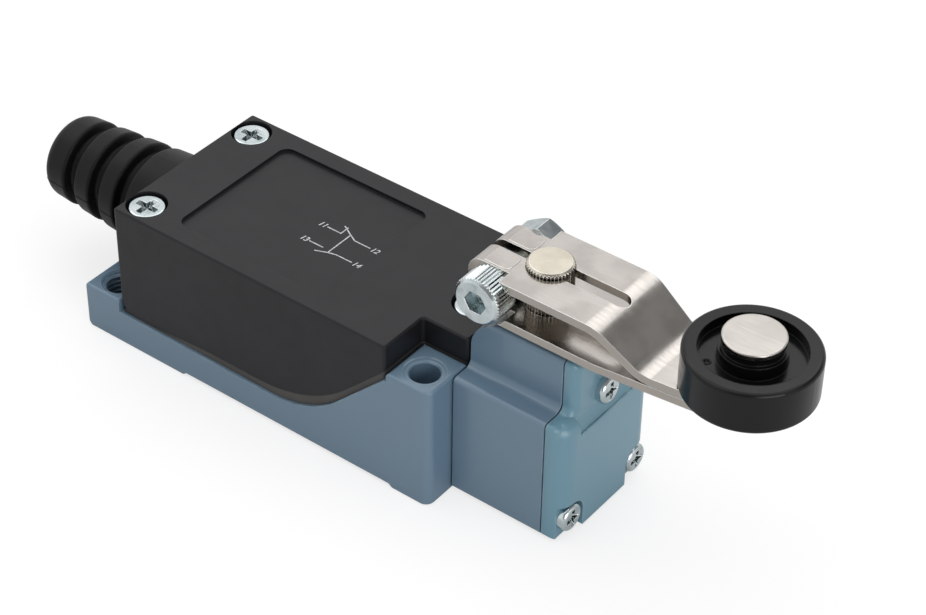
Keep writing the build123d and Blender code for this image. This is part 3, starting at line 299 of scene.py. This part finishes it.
# Added pieces, in millimetres
LABEL_FLOOR = 23.0
INK_RISE = 0.025
INK_SUNK = 0.01
STROKE = 0.17
STROKES = [[(0.88, 1.1), (3.25, 1.1), (3.25, 2.7)],
           [(2.65, 2.7), (4.5, 1.65), (5.76, 0.97), (8.48, 0.97)],
           [(4.55, 1.6), (4.55, -3.28)],
           [(0.93, -2.8), (3.36, -2.8)],
           [(2.83, -4.0), (4.53, -3.28), (5.8, -2.94), (8.48, -2.94)]]
# Terminal number and the middle of its place
NUMBERS = [(11, 0.05, 1.1), (12, 9.3, 0.92), (13, 0.05, -2.8), (14, 9.3, -2.99)]
NUMBER_SIZE = 1.32
NUMBER_SLANT = 0.22
NUMBER_BOLD = 0.02

THREAD_WALL = 2.5
THREAD_CREST = 2.07
THREAD_PITCH = 0.8
THREAD_SUNK = 0.03
THREAD_STEPS = 40
# Half widths of a thread's foot and crest, as shares of the pitch
THREAD_FOOT = 0.46
THREAD_TIP = 0.07

FLASH_ENDS = (-46.6, -24.8)
FLASH_LEVEL = 13.75
FLASH_STEP = 0.12
FLASH_OUT = 0.07
FLASH_HALF = 0.11
OUTSIDE = 20

EAR_TOP = 35.45
EAR_START = 31.35
EAR_CORNER = 0.9
EAR_CORNER_STEPS = 8
# Height over the ear and share of the outline's length and width, from the sunk foot to the bevelled top
EAR_LEVELS = [(-0.02, 1, 1), (0.03, 1, 1), (0.07, 0.96, 0.95)]

# Section across the end cover's step, along X and up Z, and half its length along Y
STEP_SECTION = [(47.7, 16.0), (47.7, 18.9), (47.8, 18.9), (47.86, 18.45), (48.0, 18.0),
                (48.22, 17.5), (48.46, 17.12), (48.58, 16.98), (48.63, 16.82), (48.74, 16.88),
                (48.86, 16.84), (48.94, 16.74), (48.96, 16.6), (48.96, 16.1), (48.9, 16.0)]
STEP_HALF = 6.33

GATE_PLACE = (64.85, -4.1, 36.08)
# Radius and height of the gate mark's rings, from its sunk foot over the rim to the middle
GATE_RINGS = [(0.62, -0.02), (0.55, 0.1), (0.42, 0.1), (0.3, 0.0)]
GATE_STEPS = 28


def put(name, mesh, body, place=(0, 0, 0)):
    obj = bpy.data.objects.new(name, mesh)
    bpy.context.scene.collection.objects.link(obj)
    obj.location = Vector(place) * MM
    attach(obj, body)
    return obj


def turn_outward(mesh):
    """Faces look out of the piece, also where its rings ran the other way round."""
    bm = bmesh.new()
    bm.from_mesh(mesh)
    inside_out = bm.calc_volume(signed=True) < 0
    bm.free()
    if inside_out:
        mesh.flip_normals()


def piece(name, skins, body, slot=None, material=None):
    """New mesh object riding on a body, with a slot's material or its own. Each skin is a list of rings
    of points, with walls from ring to ring and a cap on the first and the last."""
    verts = []
    faces = []
    for rings in skins:
        first = len(verts)
        n = len(rings[0])
        for ring in rings:
            verts.extend(Vector(point) * MM for point in ring)
        last = len(verts) - n
        for a in range(first, last, n):
            for k in range(n):
                m = (k + 1) % n
                faces.append((a + k, a + m, a + n + m, a + n + k))
        faces.append(tuple(range(first + n - 1, first - 1, -1)))
        faces.append(tuple(range(last, last + n)))
    mesh = bpy.data.meshes.new(name)
    mesh.from_pydata(verts, [], faces)
    turn_outward(mesh)
    mesh.materials.append(material or MATERIALS[slot])
    obj = put(name, mesh, body)


def contact_diagram():
    """Printed lines of the two contacts on the floor of the label recess."""
    skins = []
    low, high = LABEL_FLOOR - INK_SUNK, LABEL_FLOOR + INK_RISE
    for stroke in STROKES:
        points = [Vector(p) for p in stroke]
        rings = []
        for i, point in enumerate(points):
            before = (point - points[i - 1]).normalized() if i else (points[1] - point).normalized()
            after = (points[i + 1] - point).normalized() if i + 1 < len(points) else before
            across = Vector((-before.y, before.x)) + Vector((-after.y, after.x))
            side = across * (STROKE / 2 / (1 + before.dot(after)))
            near, far = point - side, point + side
            rings.append([(*near, low), (*near, high), (*far, high), (*far, low)])
        skins.append(rings)
    piece("contact_diagram", skins, "housing", material=INK)


def terminal_numbers():
    """Plain terminal numbers at the ends of the diagram's lines."""
    for number, x, y in NUMBERS:
        name = f"terminal_number_{number}"
        data = bpy.data.curves.new(name, "FONT")
        data.body = str(number)
        data.size = NUMBER_SIZE * MM
        data.shear = NUMBER_SLANT
        data.align_x = "CENTER"
        data.align_y = "CENTER"
        data.extrude = INK_RISE / 2 * MM
        data.offset = NUMBER_BOLD * MM
        text_obj = bpy.data.objects.new(name + "_text", data)
        mesh = bpy.data.meshes.new_from_object(text_obj)
        bpy.data.objects.remove(text_obj)
        mesh.materials.clear()
        mesh.materials.append(INK)
        put(name, mesh, "housing", (x, y, LABEL_FLOOR + INK_RISE / 2))


def thread(name, x, y, bottom, top):
    """Inner screw thread: one helical ridge standing in from the wall of a tapped hole."""
    count = int((top - bottom) / THREAD_PITCH * THREAD_STEPS)
    outer = THREAD_WALL + THREAD_SUNK
    rings = []
    for i in range(count + 1):
        angle = 2 * math.pi * i / THREAD_STEPS
        fade = min(1.0, 2 * i / THREAD_STEPS, 2 * (count - i) / THREAD_STEPS)
        z = bottom + (top - bottom) * i / count
        inner = THREAD_WALL - (THREAD_WALL - THREAD_CREST) * fade
        ring = []
        for radius, rise in ((outer, -THREAD_FOOT), (inner, -THREAD_TIP), (inner, THREAD_TIP),
                             (outer, THREAD_FOOT)):
            ring.append((x + radius * math.cos(angle), y + radius * math.sin(angle), z + rise * THREAD_PITCH))
        rings.append(ring)
    piece(name, [rings], "housing", "housing_paint")


def boot_parting_lines():
    """Thin flash left by the mould along both sides of the cable boot, laid on its surface."""
    mesh = nodes["cable_boot"].data
    boot = BVHTree.FromPolygons([v.co.copy() for v in mesh.vertices],
                                [tuple(p.vertices) for p in mesh.polygons])
    start, end = FLASH_ENDS
    for side, name in ((-1, "boot_flash_near"), (1, "boot_flash_far")):
        rings = []
        for i in range(int((end - start) / FLASH_STEP) + 1):
            outside = Vector((start + i * FLASH_STEP, side * OUTSIDE, FLASH_LEVEL)) * MM
            hit = boot.ray_cast(outside, Vector((0, -side, 0)))[0]
            if hit:
                spot = hit / MM
                out = Vector((0, side * FLASH_OUT, 0))
                half = Vector((0, 0, FLASH_HALF))
                rings.append([spot - out / 2 + half, spot + out, spot - out / 2 - half])
        piece(name, [rings], "housing", "boot_rubber")


def ear_pad(name, y0, y1, end):
    """Coined pad on a clamp ear, from the fold to just before the shaft."""
    outline = [(EAR_START, y0), (EAR_START, y1)]
    cx = end - EAR_CORNER
    for cy, start in ((y1 - EAR_CORNER, 90), (y0 + EAR_CORNER, 0)):
        for k in range(EAR_CORNER_STEPS + 1):
            a = math.radians(start - 90 * k / EAR_CORNER_STEPS)
            outline.append((cx + EAR_CORNER * math.cos(a), cy + EAR_CORNER * math.sin(a)))
    mid_x, mid_y = (EAR_START + end) / 2, (y0 + y1) / 2
    rings = [[(mid_x + (x - mid_x) * along, mid_y + (y - mid_y) * across, EAR_TOP + rise) for x, y in outline]
             for rise, along, across in EAR_LEVELS]
    piece(name, [rings], "lever", "lever_steel")


def end_step_fillet():
    """Casting fillet with a fine groove, where the end cover's thick lower half meets its upper half."""
    rings = [[(x, y, z) for x, z in STEP_SECTION] for y in (-STEP_HALF, STEP_HALF)]
    piece("end_step_fillet", [rings], "housing", "end_cover_paint")


def gate_mark():
    """Remains of the moulding gate on the roller's web: a low ring with a sunk middle."""
    x, y, floor = GATE_PLACE
    turns = [2 * math.pi * k / GATE_STEPS for k in range(GATE_STEPS)]
    rings = [[(x + radius * math.cos(a), y + radius * math.sin(a), floor + rise) for a in turns]
             for radius, rise in GATE_RINGS]
    piece("roller_gate_mark", [rings], "roller_wheel", "roller_plastic")


def compressing_spring(node):
    """A copy of a return spring, riding on the housing in place of the original, which is hidden."""
    obj = nodes[node].copy()
    obj.data = nodes[node].data.copy()
    obj.name = node + "_coil"
    bpy.context.scene.collection.objects.link(obj)
    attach(obj, "housing")
    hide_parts(node)
    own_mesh(obj)


contact_diagram()
terminal_numbers()
thread("thread_low_boss", -27.5, -11.25, bottom=0.4, top=6.9)
thread("thread_tall_boss", 27.5, 11.25, bottom=0.75, top=19.2)
boot_parting_lines()
ear_pad("ear_pad_near", -4.2, -0.95, 35.2)
ear_pad("ear_pad_far", 0.95, 4.2, 35.3)
end_step_fillet()
gate_mark()
compressing_spring("plunger_spring")
compressing_spring("contact_spring")


# Stage: white ground, white surroundings, soft lamps, in metres
FLOOR_REACH = 3.0
FLOOR_DROP = 0.0002
# Tone for the light that the floor gives back, tone where seen, glow where seen and where mirrored
FLOOR_TONE = 0.78
FLOOR_SEEN_TONE = 0.34
FLOOR_SEEN_GLOW = 0.72
FLOOR_MIRRORED_GLOW = 0.06
WORLD_DIFFUSE = 0.34
# Darker parts of the studio: towards which way, cosine where full, cosine where it ends, share of light
DARK_CARDS = [((0.48, 0.6, 0.64), 0.97, 0.8, 0.3),
              ((0.47, -0.62, 0.63), 0.9, 0.6, 0.35),
              ((-0.13, 0.13, 0.98), 0.94, 0.82, 0.1)]
# Name, place, width and height, watts
LAMPS = [("overhead", (-0.12, 0.12, 0.9), (1.4, 1.25), 6.9),
         ("right", (0.84, -0.42, 0.3), (0.6, 0.55), 3.1)]
LAMP_AIM = (0.01, 0, 0.015)


def make_floor():
    mesh = bpy.data.meshes.new("floor")
    corners = [(x * FLOOR_REACH, y * FLOOR_REACH, 0) for x, y in ((-1, -1), (1, -1), (1, 1), (-1, 1))]
    mesh.from_pydata(corners, [], [(0, 1, 2, 3)])
    floor = bpy.data.objects.new("floor", mesh)
    floor.location.z = -FLOOR_DROP
    bpy.context.scene.collection.objects.link(floor)
    s = Shader("floor", WHITE, 0.9, Specular_IOR_Level=0.0, Emission_Color=WHITE)
    s.look("Emission Strength", s.maths("MAXIMUM", s.ramp(s.seen(), 0, 1, 0, FLOOR_SEEN_GLOW),
                                        s.ramp(s.ray("Glossy"), 0, 1, 0, FLOOR_MIRRORED_GLOW)))
    s.look("Base Color", s.ramp(s.seen(), 0, 1, FLOOR_TONE, FLOOR_SEEN_TONE))
    mesh.materials.append(s.mat)


def make_world():
    world = bpy.data.worlds.new("world")
    bpy.context.scene.world = world
    w = Nodes(world)
    back = w.tree.nodes["Background"]
    w.set(back, "Color", WHITE)
    way = w.node("ShaderNodeTexCoord", "Generated")
    studio = 1.0
    for towards, near, far, share in DARK_CARDS:
        shade = w.ramp(w.dot(way, Vector(towards).normalized()), far, near, 1.0, share)
        studio = w.maths("MULTIPLY", studio, shade)
    mirrored = w.ramp(w.ray("Glossy"), 0, 1, WORLD_DIFFUSE, studio)
    w.set(back, "Strength", w.maths("MAXIMUM", w.seen(), mirrored))


def make_lamps():
    for name, place, size, power in LAMPS:
        data = bpy.data.lights.new(name, "AREA")
        data.shape = "RECTANGLE"
        data.size, data.size_y = size
        data.energy = power
        lamp = bpy.data.objects.new(name, data)
        bpy.context.scene.collection.objects.link(lamp)
        aim = Vector(LAMP_AIM) - Vector(place)
        lamp.rotation_euler = aim.to_track_quat("-Z", "Y").to_euler()
        lamp.location = place


bpy.context.scene.view_settings.view_transform = "Standard"
make_floor()
make_world()
make_lamps()
